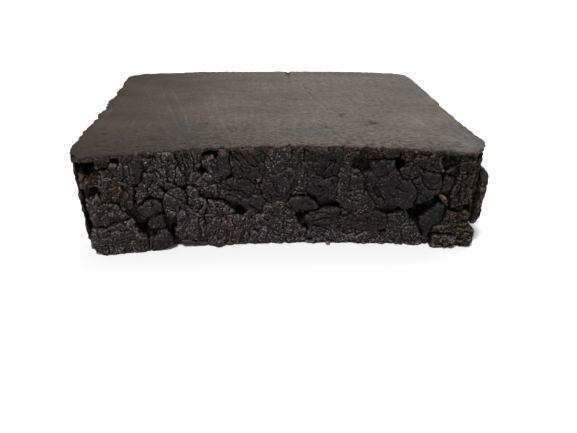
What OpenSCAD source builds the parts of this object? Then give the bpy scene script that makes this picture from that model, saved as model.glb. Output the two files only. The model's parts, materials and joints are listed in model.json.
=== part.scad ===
// Pressed charcoal block, broken open along its front.
// A crumbly char mass carries a thin burnished skin on top and a brown rind on each end.
// The broken front shows separate clods, each bounded by the cracks around it.
// Width runs along X, the broken front faces -Y, and the block rests on z = 0. Millimetres.

/* [Block] */
// width over both ends
block_w = 150; // [120:1:180]
// depth from the front corners to the back edge
block_d = 126; // [100:1:150]
// height at the two ends
block_h = 42; // [32:1:55]
// extra height in the middle of the top
crown = 2.2; // [0:0.1:4]

/* [Skin and rind] */
// thickness of the burnished skin on top
skin_t = 1.4; // [0.8:0.1:3]
// thickness of the brown rind on each end
rind_t = 1.8; // [1:0.1:3]
// how far the loose flake stands off the right end
flake_t = 2.2; // [1:0.1:3]
// how far its free front edge stands out beyond the block
flake_out = 1.5; // [0:0.1:4]

/* [Broken front] */
// how far the front corners stand forward of the middle
face_bow = 6; // [0:0.5:9]
// how far the top of the front stands forward of its foot
face_lean = 6; // [0:0.5:9]
// thickness of the thinnest clods, at the middle of the foot
clod_t = 3; // [2:0.5:6]
// width of the crack left between two clods
crack = 0.3; // [0.2:0.05:0.8]
// how far the rim of a clod is rounded back
shoulder = 1.2; // [0.4:0.1:2]

/* [Hidden] */

kx = block_w / 150;
ky = block_d / 126;
kz = block_h / 42;
face_mid = block_d / 2 - face_bow - face_lean - 0.4;
core_y = clod_t - face_mid;
core_left = rind_t - block_w / 2;
core_right = block_w / 2 - flake_t - rind_t + 0.2;
flake_in = block_w / 2 - flake_t;
bond = 0.05;
steps = 24;
// a height over the whole block; a corner given this height is held down to the skin
lid = 99;

skin_tone = [0.42, 0.38, 0.35];
char_tone = [0.13, 0.12, 0.12];
smooth_tone = [0.18, 0.17, 0.17];
brown_tone = [0.27, 0.21, 0.17];
pink_tone = [0.62, 0.42, 0.38];
orange_tone = [0.58, 0.36, 0.2];

function top_z(x) = block_h + crown * (1 - pow(2 * x / block_w, 2));
function seat_z(x) = top_z(x) - skin_t;
function face_y(x, z) = -(face_mid + face_bow * pow(2 * x / block_w, 2) + face_lean * z / block_h);

// outline helpers, for points [x, z] on the front
function next(i, n) = (i + 1) % n;
function cross2(a, b) = a[0] * b[1] - a[1] * b[0];
function total(list, i = 0) = i < len(list) ? list[i] + total(list, i + 1) : 0;
function total2(list, i = 0) = i < len(list) ? list[i] + total2(list, i + 1) : [0, 0];
function area(p) = total([for (i = [0:len(p) - 1]) cross2(p[i], p[next(i, len(p))])]) / 2;
function middle(p) =
    total2([for (i = [0:len(p) - 1])
        (p[i] + p[next(i, len(p))]) * cross2(p[i], p[next(i, len(p))])]) / (6 * area(p));
function turned(p) = area(p) > 0 ? p : [for (i = [len(p) - 1:-1:0]) p[i]];
function inward(a, b) = [a[1] - b[1], b[0] - a[0]] / norm(b - a);
function moved_corner(a, b, c, d) =
    b + (inward(a, b) + inward(b, c)) * d / (1 + inward(a, b) * inward(b, c));
function inset(p, d) =
    [for (i = [0:len(p) - 1])
        let (q = moved_corner(p[(i + len(p) - 1) % len(p)], p[i], p[next(i, len(p))], d))
        [q[0], p[i][1] == 0 ? 0 : q[1]]];
function fitted(p) = [for (q = p) [q[0] * kx, min(q[1] * kz, seat_z(q[0] * kx))]];

// centres the whole part on X, with the flake counted in
module centred() {
    translate([-flake_out / 2, 0, 0])
    children();
}

// a clod: its outline seen from the front, carried back to the core,
// with a rounded rim and a low peak that follow the bowed and leaning face
module clod(outline, proud = 0, back_y = core_y) {
    rim = inset(turned(fitted(outline)), crack / 2);
    n = len(rim);
    mid = middle(rim);
    brow = [for (p = rim) mid + (p - mid) * 0.82];
    points = concat(
        [for (p = rim) [p[0], back_y, p[1]]],
        [for (p = rim) [p[0], face_y(p[0], p[1]) + shoulder - proud, p[1]]],
        [for (p = brow) [p[0], face_y(p[0], p[1]) - proud, p[1]]],
        [[mid[0], back_y, mid[1]]],
        [[mid[0], face_y(mid[0], mid[1]) - proud - 0.5, mid[1]]]
    );
    faces = concat(
        [for (i = [0:n - 1]) [3 * n, i, next(i, n)]],
        [for (i = [0:n - 1]) [i, n + i, n + next(i, n), next(i, n)]],
        [for (i = [0:n - 1]) [n + i, 2 * n + i, 2 * n + next(i, n)]],
        [for (i = [0:n - 1]) [n + i, 2 * n + next(i, n), n + next(i, n)]],
        [for (i = [0:n - 1]) [3 * n + 1, 2 * n + next(i, n), 2 * n + i]]
    );
    centred()
    polyhedron(points = points, faces = faces);
}

// a solid with the same section all along the depth, from points [x, z]
module along_depth(section) {
    translate([0, block_d, 0])
    rotate([90, 0, 0])
    linear_extrude(height = 2 * block_d)
    polygon(section);
}

// a flat sheet standing on an end, from points [y, z], its inner side at x
module end_sheet(x, thick, outline) {
    centred()
    translate([x, 0, 0])
    rotate([90, 0, 90])
    linear_extrude(height = thick)
    polygon([for (p = outline) [p[0] * ky, p[1] * kz]]);
}

function station(i) = -block_w / 2 - 1 + (block_w + 2) * i / steps;
// the front edge of the skin: bowed like the face, slightly ragged
function skin_front(x) = face_y(x, block_h) - 0.4 + 0.3 * sin(41 * x) * (1 - pow(2 * x / block_w, 6));

right_edge = [
    [71, -59.7], [73.7, -55.7], [75, -50.5], [74.8, -44], [75, -37], [74.4, -29], [74, -21],
    [74.2, -12], [74, -3], [74.8, 6], [75, 17], [74.6, 28], [74.8, 41], [74.4, 54], [73.5, 59]
];
back_edge = [
    [71, 61], [60, 62.3], [43, 63], [16, 63], [10.6, 62.6], [9.6, 60.8], [8.6, 62.6],
    [-2, 62.4], [-39, 62.6], [-70, 61]
];
left_edge = [
    [-74, 58], [-75, 54], [-74.4, 38], [-74.2, 27], [-74.6, 16], [-75, 6], [-74.3, -4],
    [-74.8, -12], [-74, -21], [-74.6, -29], [-75, -36], [-74.4, -44], [-75, -52], [-74, -58]
];
skin_plan = concat(
    [for (x = [-72.5:2:69.5]) [x * kx, skin_front(x * kx)]],
    [for (p = right_edge) [p[0] * kx, p[1] * ky]],
    [for (p = back_edge) [p[0] * kx, p[1] * ky]],
    [for (p = left_edge) [p[0] * kx, p[1] * ky]]
);
core_plan = [
    [core_left, core_y], [core_right, core_y], [core_right, 57 * ky], [69 * kx, 60 * ky],
    [40 * kx, 61.5 * ky], [-20 * kx, 61 * ky], [-50 * kx, 61.5 * ky], [-70 * kx, 59.5 * ky],
    [core_left, 56 * ky]
];

// the char behind the broken front
module core_mass() {
    color(char_tone)
    centred()
    intersection() {
        linear_extrude(height = block_h + crown)
            polygon(core_plan);
        along_depth(concat(
            [[-block_w, 0], [block_w, 0]],
            [for (i = [steps:-1:0]) [station(i), seat_z(station(i)) - bond]]
        ));
    }
}

// the burnished skin, crowned across the width
module top_skin() {
    color(skin_tone)
    centred()
    intersection() {
        linear_extrude(height = block_h + crown)
            polygon(skin_plan);
        along_depth(concat(
            [for (i = [0:steps]) [station(i), seat_z(station(i))]],
            [for (i = [steps:-1:0]) [station(i), top_z(station(i))]]
        ));
    }
}

// the brown rind of the left end
module left_end_rind() {
    color(brown_tone)
    end_sheet(-block_w / 2, rind_t, [
        [-45, 0], [54, 0], [59, 10], [58, 34], [55, 40.2], [-54, 40.2], [-54, 30],
        [-53, 18], [-52, 8], [-50, 2]
    ]);
}

// the brown rind of the right end; its upper front edge shows as a post
module right_end_rind() {
    color(brown_tone)
    end_sheet(core_right, rind_t - 0.2, [
        [-47.8, 0], [54, 0], [57, 20], [56, 40.2], [-57.4, 40.2], [-57.2, 33], [-57, 22],
        [-56.6, 14], [-55.5, 9.6], [-47.8, 9.3]
    ]);
}

// the flake peeling off the right end: it holds on at the back and its front edge stands free
module right_end_flake() {
    color(brown_tone)
    intersection() {
        end_sheet(flake_in, flake_t + flake_out, [
            [-57.3, 31.2], [-55, 33], [-42, 32], [-29, 28], [-26, 20], [-32, 11], [-45, 8.6],
            [-54, 8.8], [-57, 14], [-58.5, 24]
        ]);
        centred()
        linear_extrude(height = block_h)
            polygon([
                [flake_in, -36 * ky], [flake_in + 0.8, -52 * ky], [flake_in + 1, -60 * ky],
                [flake_in + flake_t + flake_out, -60 * ky], [flake_in + flake_t + flake_out, -40 * ky],
                [flake_in + flake_t, -25 * ky], [flake_in, -25 * ky]
            ]);
    }
}

// brown knob under the skin at the left corner
module top_left_knob() {
    color(brown_tone)
    clod([
        [-66.8, lid], [-61.5, lid], [-61.5, 38.5], [-63.5, 36.5], [-66.8, 36.5]
    ], proud = -1.5);
}

// knob on the left edge, below the open hollow
module left_edge_knob() {
    color(brown_tone)
    clod([
        [-71.5, 34.5], [-68, 34.5], [-66, 32.5], [-65.8, 30], [-69, 29], [-71.5, 30]
    ], proud = -1.2);
}

// large clod at the upper left
module upper_left_clod() {
    color(char_tone)
    clod([
        [-64.5, 35.5], [-63, 36.2], [-61, 38.2], [-58.8, 38.5], [-57.5, lid], [-54.8, lid],
        [-54.8, 29.5], [-65.5, 29.5], [-65.3, 32.5]
    ], proud = 0.3);
}

// browner, grainier clod under it
module brown_crumb_clod() {
    color(brown_tone)
    clod([
        [-65.5, 29.3], [-54.8, 29.3], [-55, 26], [-56.3, 23.6], [-58.5, 24.2], [-61, 22.8],
        [-65.8, 23.2], [-65.3, 26]
    ], proud = -0.3);
}

// clod at half height on the left edge
module left_shoulder_clod() {
    color(char_tone)
    clod([
        [-70.8, 24.5], [-67, 26], [-66, 23], [-64.8, 22], [-61.5, 22], [-60.3, 20],
        [-58.3, 17.3], [-57.3, 15.7], [-60, 14.5], [-64, 14.5], [-66, 12.5], [-70.8, 12.5]
    ], proud = -0.2);
}

// the largest clod of the left corner, standing on the ground
module lower_left_clod() {
    color(char_tone)
    clod([
        [-70.8, 12.2], [-66, 12.2], [-64, 14.2], [-60, 14.2], [-57, 15.4], [-55, 13.5],
        [-54.3, 10], [-52.9, 8], [-52.5, 4], [-52.8, 0], [-70.6, 0], [-72.6, 3.6]
    ], proud = 1);
}

// small wedge between the left clods
module left_wedge_clod() {
    color(brown_tone)
    clod([
        [-60.7, 22.3], [-58.5, 23.8], [-56.4, 23.2], [-54.5, 22.5], [-54.2, 20],
        [-57.3, 19.3], [-59.2, 19.5]
    ], proud = -1);
}

// tall smooth slab beside the first long crack
module upright_slab() {
    color(smooth_tone)
    clod([
        [-54.3, lid], [-50, lid], [-50.4, 36], [-51.6, 30.8], [-53.2, 30.2], [-54.3, 31.5]
    ], proud = 0.2);
}

// slanting splinter below the slab
module long_splinter() {
    color(char_tone)
    clod([
        [-50.1, 35.3], [-48.5, 34], [-47.2, 31.3], [-49.3, 28], [-49.5, 24.3], [-51.2, 23],
        [-53.4, 21], [-54, 23], [-54.2, 26], [-53, 28.3], [-51.2, 29.8]
    ], proud = -0.8);
}

// small three-sided clod
module knuckle_clod() {
    color(char_tone)
    clod([
        [-49, 27.8], [-47.2, 30.3], [-43.8, 25.8], [-44.7, 23.3], [-47.3, 23.6],
        [-49.2, 24.2]
    ], proud = -0.2);
}

// upper of three round smooth knobs
module upper_knob() {
    color(smooth_tone)
    clod([
        [-53.3, 20.3], [-50, 23], [-47, 23.2], [-45, 21.8], [-45.2, 18], [-48.5, 17],
        [-50.5, 16.3], [-53.2, 17]
    ], proud = 0.9);
}

// middle knob
module middle_knob() {
    color(smooth_tone)
    clod([
        [-51.8, 13], [-50.2, 15.8], [-48, 16.5], [-45.4, 16], [-45, 13.5], [-45.3, 11],
        [-47.5, 10.5], [-50.5, 10.8]
    ], proud = 0.6);
}

// lower knob, with the step it stands on
module lower_knob() {
    color(smooth_tone)
    clod([
        [-49.8, 7.3], [-47.3, 10.1], [-45.2, 10.6], [-43.8, 8.3], [-43, 4], [-43, 1.5],
        [-45, 0], [-52.2, 0], [-52, 5.3]
    ], proud = 0.5);
}

// knob under a thin arch
module arched_knob() {
    color(char_tone)
    clod([
        [-43.8, 26], [-41.5, 27.8], [-38, 27.6], [-36.9, 25.5], [-36.3, 21.5], [-38.2, 20.7],
        [-39.2, 17], [-40.3, 15.3], [-43.3, 15.8], [-44.3, 18.5], [-44.3, 22]
    ], proud = 0.3);
}

// wide clod right under the skin
module top_ledge_clod() {
    color(char_tone)
    clod([
        [-49.6, lid], [-38.8, lid], [-38.6, 37.3], [-43.5, 37], [-48, 37], [-49.5, 38.3]
    ], proud = 0.2);
}

// pitted clod under the ledge
module pitted_clod() {
    color(char_tone)
    clod([
        [-48, 36.5], [-43.7, 36.2], [-38.8, 36.8], [-36.7, 33], [-36.7, 29.5], [-41, 28.3],
        [-44.3, 29.3], [-46.8, 31.3], [-48.2, 34.2]
    ]);
}

// upright post left of the deep pit
module upright_post() {
    color(char_tone)
    clod([
        [-38.4, lid], [-29, lid], [-29.2, 39], [-31.3, 35.2], [-30.8, 31.5], [-33, 30],
        [-33.2, 28.5], [-35.8, 28.8], [-36.3, 33], [-38.2, 36.8]
    ], proud = -0.3);
}

// bean-shaped clod
module bean_clod() {
    color(char_tone)
    clod([
        [-36.4, 26.5], [-35.3, 28.3], [-33, 28], [-31.2, 25], [-30.8, 23.3], [-28.8, 22.3],
        [-28.5, 20], [-29.2, 17.3], [-31, 15.8], [-33.8, 17.5], [-35.5, 20], [-36, 22.5]
    ], proud = 0.3);
}

// right flank of the deep pit
module pit_flank_clod() {
    color(char_tone)
    clod([
        [-28.8, 40.3], [-25.8, 40.3], [-24.6, 38], [-24.2, 34.5], [-23.8, 31.3], [-23.5, 28],
        [-24.3, 24], [-29, 23.8], [-30.7, 24.5], [-32.6, 27.8], [-32.6, 29.7], [-30.3, 31],
        [-28.5, 33], [-28.9, 38.5]
    ], proud = -0.5);
}

// reddish granular clod at the foot
module granular_clod() {
    color(char_tone)
    clod([
        [-38.7, 19.5], [-37, 20.5], [-35.7, 19.5], [-33.9, 17], [-31.3, 15.3], [-31, 10],
        [-30.3, 6], [-30, 0], [-35, 0.7], [-40.5, 1.7], [-41.5, 8], [-41.3, 12], [-39.8, 15]
    ], proud = -0.4);
}

// clod with upright fibres at the foot
module fibrous_clod() {
    color(char_tone)
    clod([
        [-29.3, 13], [-25, 13.8], [-20, 14.3], [-13, 14], [-12.2, 11], [-14, 5], [-14.8, 0],
        [-29, 0], [-29.7, 6]
    ]);
}

// flat flake over the fibrous clod
module flat_flake() {
    color(char_tone)
    clod([
        [-28.3, 21.8], [-24.3, 21.2], [-21, 19], [-18.3, 15.5], [-20, 14.8], [-25, 14.3],
        [-28.8, 14], [-30.6, 15.2], [-28.8, 17.2], [-28.2, 20]
    ], proud = -0.2);
}

// large plate split along slanting lines
module diagonal_plate() {
    color(smooth_tone)
    clod([
        [-23.2, 30.8], [-18, 31], [-12.8, 30.2], [-9.8, 28.6], [-9.2, 26.5], [-8.3, 22.5],
        [-7.3, 20.3], [-8.6, 16.5], [-11.5, 14.9], [-13.4, 15.3], [-14.2, 17.4], [-17, 18.9],
        [-19.8, 20.8], [-23.9, 23.3], [-23, 27.5]
    ], proud = 0.3);
}

// oval plate beside the pit
module oval_plate() {
    color(smooth_tone)
    clod([
        [-24.2, lid], [-19.8, lid], [-19.8, 33.5], [-21.5, 31.6], [-23.6, 33.3], [-23.8, 38]
    ], proud = 0.6);
}

// fan-shaped plate right under the skin
module fan_plate() {
    color(smooth_tone)
    clod([
        [-19.6, lid], [-8.4, lid], [-7.2, 37.5], [-7.5, 33.5], [-9.5, 30.8], [-13, 31],
        [-18, 31.8], [-19.5, 33.8]
    ], proud = 0.2);
}

// clod left of the wavy crack
module centre_top_clod() {
    color(char_tone)
    clod([
        [-8.1, lid], [1.8, lid], [2, 40], [-0.6, 36.7], [-0.8, 34.3], [-3, 32.3],
        [-7.2, 33.3], [-7, 37.5]
    ], proud = 0.2);
}

// smooth clod in the middle of the face
module centre_clod() {
    color(smooth_tone)
    clod([
        [-7.3, 32.8], [-3, 31.9], [-0.5, 33.8], [0.3, 31.7], [2.6, 29.6], [2.7, 24.5],
        [0.3, 20.2], [-4, 20.6], [-6.5, 21], [-7.3, 24], [-8.3, 27.5], [-8, 30]
    ], proud = 0.6);
}

// clod below it
module centre_lower_clod() {
    color(char_tone)
    clod([
        [-6.8, 20.4], [-4, 20.1], [0.2, 19.7], [1.3, 18.5], [3.6, 16], [4.8, 12.5],
        [0, 13.3], [-4, 14], [-8, 16.3]
    ], proud = 0.2);
}

// leaf-shaped clod
module leaf_clod() {
    color(smooth_tone)
    clod([
        [2.8, 22.3], [7, 22.6], [11.8, 20.6], [13.2, 18.7], [11.5, 17.3], [8, 16.2],
        [5.5, 15.6], [3.9, 16.5], [1.2, 19.7]
    ], proud = 0.8);
}

// clod right of the wavy crack
module wave_flank_clod() {
    color(char_tone)
    clod([
        [2.7, lid], [6.8, lid], [7.2, 36.5], [8.3, 31], [8.3, 23.4], [5.5, 23.2],
        [3.1, 23.6], [3.2, 29.8], [0.7, 32.3], [0.3, 36.3], [2.6, 39.3]
    ], proud = -0.4);
}

// smooth clod right under the skin
module smooth_top_clod() {
    color(smooth_tone)
    clod([
        [7.1, lid], [20.3, lid], [20.3, 36], [19, 31.5], [13.5, 31.2], [8.7, 31.3],
        [7.6, 36.5]
    ], proud = 0.2);
}

// squarish clod under it
module block_clod() {
    color(smooth_tone)
    clod([
        [8.6, 30.8], [12.5, 30.6], [19.3, 31], [20, 29], [19.3, 26], [20.3, 21], [15, 19.3],
        [13.6, 20.8], [12, 23], [8.6, 25]
    ], proud = 0.4);
}

// lens of thin layers, open all round
module lens_flake() {
    color(smooth_tone)
    clod([
        [7.3, 12.8], [10, 15.3], [14.5, 17.2], [19.5, 17.9], [22.3, 16.7], [21.3, 13],
        [19.3, 10.3], [15, 7.8], [11, 8], [8.5, 10]
    ], proud = 1.2);
}

// glossy crumbly clod at the foot
module glossy_foot() {
    color(char_tone)
    clod([
        [-11.8, 13], [-8, 14.5], [-4, 13.2], [0, 12.2], [5.3, 10.6], [8, 6.5], [9.3, 0],
        [-14.3, 0], [-13.5, 5]
    ], proud = -0.3);
}

// long low clod at the foot
module bottom_strip() {
    color(char_tone)
    clod([
        [9.7, 6.3], [12, 6.9], [16, 6.6], [19.5, 9.3], [24, 8.3], [28.5, 5.6], [33, 6],
        [38, 5.8], [42, 4.8], [44.3, 2.5], [44.5, 0], [9.9, 0]
    ]);
}

// mottled clod right of the lens
module mottled_clod() {
    color(char_tone)
    clod([
        [20.5, 25.2], [24, 24], [30, 25], [32.8, 22.3], [33.8, 20.3], [35.3, 16.3],
        [30, 14.2], [24, 14.2], [22.9, 17.3], [22.3, 19.3], [20.7, 20.5]
    ], proud = 0.3);
}

// smooth rounded clod under it
module smooth_belly() {
    color(smooth_tone)
    clod([
        [22.8, 13.8], [30, 13.8], [35.8, 15.8], [39.5, 13.3], [40.2, 8.3], [36.5, 6.8],
        [30, 7], [25, 9.4], [21, 10.6], [22.3, 12.8]
    ], proud = 0.9);
}

// grainy clod right under the skin
module right_of_centre_clod() {
    color(char_tone)
    clod([
        [20.8, lid], [27.3, lid], [26.3, 38.5], [26, 35], [28.8, 32], [30.3, 29.8],
        [30.3, 25.7], [24, 24.4], [20.5, 25.8], [20.5, 31], [20.7, 36]
    ], proud = -0.2);
}

// the big dark lump, smooth and rounded
module big_lump() {
    color(smooth_tone)
    clod([
        [29, 32.3], [31.5, 35], [31.3, 37.8], [36, 38.4], [40, 37.6], [41.5, 33.5],
        [44.3, 30.3], [47, 29.3], [49.3, 26], [50, 22], [50, 18.6], [47.5, 17.2], [43, 18],
        [40, 19.7], [38.5, 21], [36.3, 25], [33.8, 29], [31, 31]
    ], proud = 1.2);
}

// its smooth right cheek, a clod of its own
module smooth_cheek() {
    color(smooth_tone)
    clod([
        [50.4, 31.5], [51.5, 33.8], [56, 33.5], [58.3, 30], [58.7, 26], [57, 22.8],
        [54.5, 20.3], [50.4, 18.7], [50.4, 22], [49.6, 26.3], [47.4, 29.6]
    ], proud = 0.9);
}

// splinter set back along the left of the big lump
module seam_splinter() {
    color(char_tone)
    clod([
        [30.8, 30.5], [33.3, 28.8], [35.8, 24.6], [38, 20.8], [39.6, 18.8], [39.8, 16.5],
        [36, 16.2], [34.2, 20.5], [33, 22.8], [30.7, 25.6]
    ], proud = -1.6);
}

// shelf of char over the big lump
module left_shelf() {
    color(char_tone)
    clod([
        [27.8, lid], [41.8, lid], [41.5, 39.5], [36, 39], [31.3, 38.5], [29.8, 39.8]
    ], proud = -0.4);
}

// crumbly shelf right of the small hollow
module right_shelf() {
    color(char_tone)
    clod([
        [42.3, lid], [57, lid], [57.3, 38], [58, 34.5], [56, 34], [51.5, 34.3], [49.5, 33],
        [47, 30], [44.6, 31], [43.6, 33.5], [44.3, 36.3], [42.5, 39]
    ], proud = -0.2);
}

// smooth lump in the crevice, with the post under it
module blue_lump() {
    color(smooth_tone)
    clod([
        [53, 13], [55, 16], [57, 19.2], [59.5, 19.5], [61.8, 18], [62.3, 14], [61.3, 10.3],
        [58.8, 9.3], [58.3, 5], [58.7, 0], [55.9, 0], [55.2, 4], [53.9, 9]
    ], proud = -0.6);
}

// speckled clod at the foot, right of the middle
module speckled_clod() {
    color(char_tone)
    clod([
        [40.6, 13.3], [43, 15.3], [47.3, 16], [49.6, 12.5], [52.7, 8.5], [54.7, 3],
        [55.4, 0], [45, 0], [44.8, 2.8], [42.5, 5.2], [40.7, 8]
    ], proud = 0.4);
}

// round knob at the foot near the right corner
module base_knob() {
    color(char_tone)
    clod([
        [60.3, 5.6], [67.2, 5.4], [67.8, 3], [67.3, 0], [59.3, 0], [59.5, 3]
    ], proud = 2.8);
}

// brown lump over that knob
module mid_base_lump() {
    color(brown_tone)
    clod([
        [62.8, 16], [67.3, 14.8], [67.5, 9], [67.3, 6], [59.7, 6.2], [59.2, 8.9],
        [61.7, 10.3], [62.8, 13.8]
    ], proud = 0.8);
}

// smooth narrow lens near the right corner
module olive_lens() {
    color(smooth_tone)
    clod([
        [58.8, 30.5], [60, 32.3], [63, 31.2], [62.7, 27.5], [61.8, 25], [59.2, 24.5],
        [59.2, 27.5]
    ], proud = -0.4);
}

// knob set back over it
module blue_top_knob() {
    color(smooth_tone)
    clod([
        [60, 33.3], [60.8, 36], [63.2, 36.2], [63.4, 34], [63.3, 32]
    ], proud = -1.6);
}

// small orange-brown chip
module orange_chip() {
    color(orange_tone)
    clod([
        [59.2, 23.8], [61.6, 22.8], [62.9, 20.5], [62.7, 18.4], [61, 19.6], [59.4, 22]
    ], proud = -0.6);
}

// upper layered lump at the right corner
module layered_upper() {
    color(brown_tone)
    clod([
        [63.2, lid], [68, lid], [69.2, 37], [69.2, 33.6], [65, 33], [63.8, 34.8], [63.6, 37]
    ], proud = -0.4);
}

// tall layered lump at the right corner
module layered_mid() {
    color(brown_tone)
    clod([
        [63.8, 32.3], [69.3, 33.2], [70, 27], [69.8, 20.5], [67.7, 17.5], [64.5, 17.5],
        [63.3, 20.5], [63.1, 26]
    ], proud = 0.2);
}

// brown stack at the foot of the right corner
module right_corner_stack() {
    color(brown_tone)
    clod([
        [67.9, 15.3], [69.4, 17.2], [71, 16.4], [71, 9], [74.4, 8], [74.9, 3], [74.3, 0.8],
        [72.5, 0], [68.1, 0], [68.3, 3], [67.8, 6], [67.9, 10]
    ], proud = 1);
}

// pinkish grain wedged in a crack
module pink_grain() {
    color(pink_tone)
    clod([
        [-9.6, 30.2], [-8.5, 30.5], [-8.4, 28.6], [-9.3, 28.4]
    ], proud = -0.6, back_y = -52 * ky);
}

// loose-looking crumb held against the foot
module base_crumb() {
    color(orange_tone)
    difference() {
        clod([
            [17, 0], [19.2, 0], [19.1, 0.9], [18.2, 1.5], [17.1, 1]
        ], proud = 1.6, back_y = -49.5 * ky);
        bottom_strip();
    }
}

core_mass();
top_skin();
left_end_rind();
right_end_rind();
right_end_flake();
top_left_knob();
left_edge_knob();
upper_left_clod();
brown_crumb_clod();
left_shoulder_clod();
lower_left_clod();
left_wedge_clod();
upright_slab();
long_splinter();
knuckle_clod();
upper_knob();
middle_knob();
lower_knob();
arched_knob();
top_ledge_clod();
pitted_clod();
upright_post();
bean_clod();
pit_flank_clod();
granular_clod();
fibrous_clod();
flat_flake();
diagonal_plate();
oval_plate();
fan_plate();
centre_top_clod();
centre_clod();
centre_lower_clod();
leaf_clod();
wave_flank_clod();
smooth_top_clod();
block_clod();
lens_flake();
glossy_foot();
bottom_strip();
mottled_clod();
smooth_belly();
right_of_centre_clod();
big_lump();
smooth_cheek();
seam_splinter();
left_shelf();
right_shelf();
blue_lump();
speckled_clod();
base_knob();
mid_base_lump();
olive_lens();
blue_top_knob();
orange_chip();
layered_upper();
layered_mid();
right_corner_stack();
pink_grain();
base_crumb();
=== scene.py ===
"""Looks of a pressed charcoal block: a burnished skin over a broken, crumbly front."""

import json
import math

import bpy
import numpy as np
from mathutils import Matrix, Vector


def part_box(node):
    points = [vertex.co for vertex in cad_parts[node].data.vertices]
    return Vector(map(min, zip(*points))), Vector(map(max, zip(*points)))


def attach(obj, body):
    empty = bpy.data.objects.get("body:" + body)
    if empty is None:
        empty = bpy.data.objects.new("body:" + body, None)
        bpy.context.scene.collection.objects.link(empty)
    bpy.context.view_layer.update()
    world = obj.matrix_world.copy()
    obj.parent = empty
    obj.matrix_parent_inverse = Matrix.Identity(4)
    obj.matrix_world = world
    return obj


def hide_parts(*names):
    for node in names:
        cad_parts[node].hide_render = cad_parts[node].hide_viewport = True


MM = 0.001

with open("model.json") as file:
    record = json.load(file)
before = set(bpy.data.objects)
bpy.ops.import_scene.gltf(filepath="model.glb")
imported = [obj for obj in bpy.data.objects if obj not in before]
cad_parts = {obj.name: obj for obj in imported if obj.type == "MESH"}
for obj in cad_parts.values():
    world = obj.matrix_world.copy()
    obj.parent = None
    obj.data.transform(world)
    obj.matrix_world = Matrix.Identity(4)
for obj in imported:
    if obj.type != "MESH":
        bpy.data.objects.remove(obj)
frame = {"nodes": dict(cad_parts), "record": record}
scene = bpy.context.scene
nodes = frame["nodes"]
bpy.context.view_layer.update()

# ------------ sizes, in millimetres


def box_mm(node):
    lo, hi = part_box(node)
    return np.array(lo) / MM, np.array(hi) / MM


SKIN_LO, SKIN_HI = box_mm("top_skin")
CORE_FRONT = box_mm("core_mass")[0][1]
MID_X = (SKIN_LO[0] + SKIN_HI[0]) / 2
HALF_W = (SKIN_HI[0] - SKIN_LO[0]) / 2
# how far the skin rises in the middle, and how thick it is
CROWN = 2.2
SKIN_T = 1.4
# height of the skin's two side edges
TOP = SKIN_HI[2] - CROWN
# the broken front: how far its ends come forward, how far its top leans out, and how far it is from y = 0
FACE_BOW = 6.0
FACE_LEAN = 6.0
FACE_MID = 3.0 - CORE_FRONT
END_PIECES = ("left_end_rind", "right_end_rind", "right_end_flake")
SLOT = {s["node"]: s["material_slot"] for s in frame["record"]["subparts"]}
CLODS = [n for n in SLOT if n not in END_PIECES + ("core_mass", "top_skin", "base_crumb")]


def face_y(x, z):
    """Where the broken front is at a place across and a height."""
    return -(FACE_MID + FACE_BOW * ((x - MID_X) / HALF_W) ** 2 + FACE_LEAN * z / TOP)


def crown_at(y):
    """The skin is flatter towards the back."""
    return CROWN - 1.2 * ease(y, -25, 55)


def top_z(x, y=-60.0):
    return TOP + crown_at(y) * (1 - ((x - MID_X) / HALF_W) ** 2)


# ------------ noise

def ease(x, lo, hi):
    t = np.clip((np.asarray(x, float) - lo) / (hi - lo), 0, 1)
    return t * t * (3 - 2 * t)


def hash01(ix, iy, iz, seed):
    """A repeatable number from 0 to 1 for each whole-number point."""
    word = np.uint32
    h = (ix.astype(word) * word(374761393) + iy.astype(word) * word(668265263)
         + iz.astype(word) * word(2147483647) + word(seed * 2654435761 % 2 ** 32))
    h = (h ^ (h >> word(13))) * word(1274126177)
    h ^= h >> word(16)
    h = h * word(2246822519)
    h ^= h >> word(15)
    return h.astype(np.float64) / (2 ** 32 - 1)


def flat3(x, z, y=0.0):
    return np.stack([x, np.full_like(x, y), z], 1)


def bell(distance, width):
    return np.exp(-(distance / width) ** 2)


def next_of(ring):
    """Each one's follower round a closed ring."""
    return np.roll(ring, -1, 0)


def value_noise(p, size, seed):
    """Smooth noise from -1 to 1 with features about size across."""
    q = p / size + 1000.0
    i = np.floor(q).astype(np.int64)
    f = q - i
    f = f * f * f * (f * (f * 6 - 15) + 10)
    out = 0.0
    for dx in (0, 1):
        wx = f[:, 0] if dx else 1 - f[:, 0]
        for dy in (0, 1):
            wy = f[:, 1] if dy else 1 - f[:, 1]
            for dz in (0, 1):
                wz = f[:, 2] if dz else 1 - f[:, 2]
                out = out + wx * wy * wz * hash01(i[:, 0] + dx, i[:, 1] + dy, i[:, 2] + dz, seed)
    return out * 2 - 1


def fbm(p, size, seed, octaves=3, gain=0.5):
    total, weight, amount = 0.0, 0.0, 1.0
    for k in range(octaves):
        total = total + amount * value_noise(p, size / 2 ** k, seed + 17 * k)
        weight += amount
        amount *= gain
    return total / weight


def fbm3(p, size, seeds):
    """Noise for each of the three directions."""
    return np.stack([fbm(p, size, seed, 2) for seed in seeds], 1)


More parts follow.
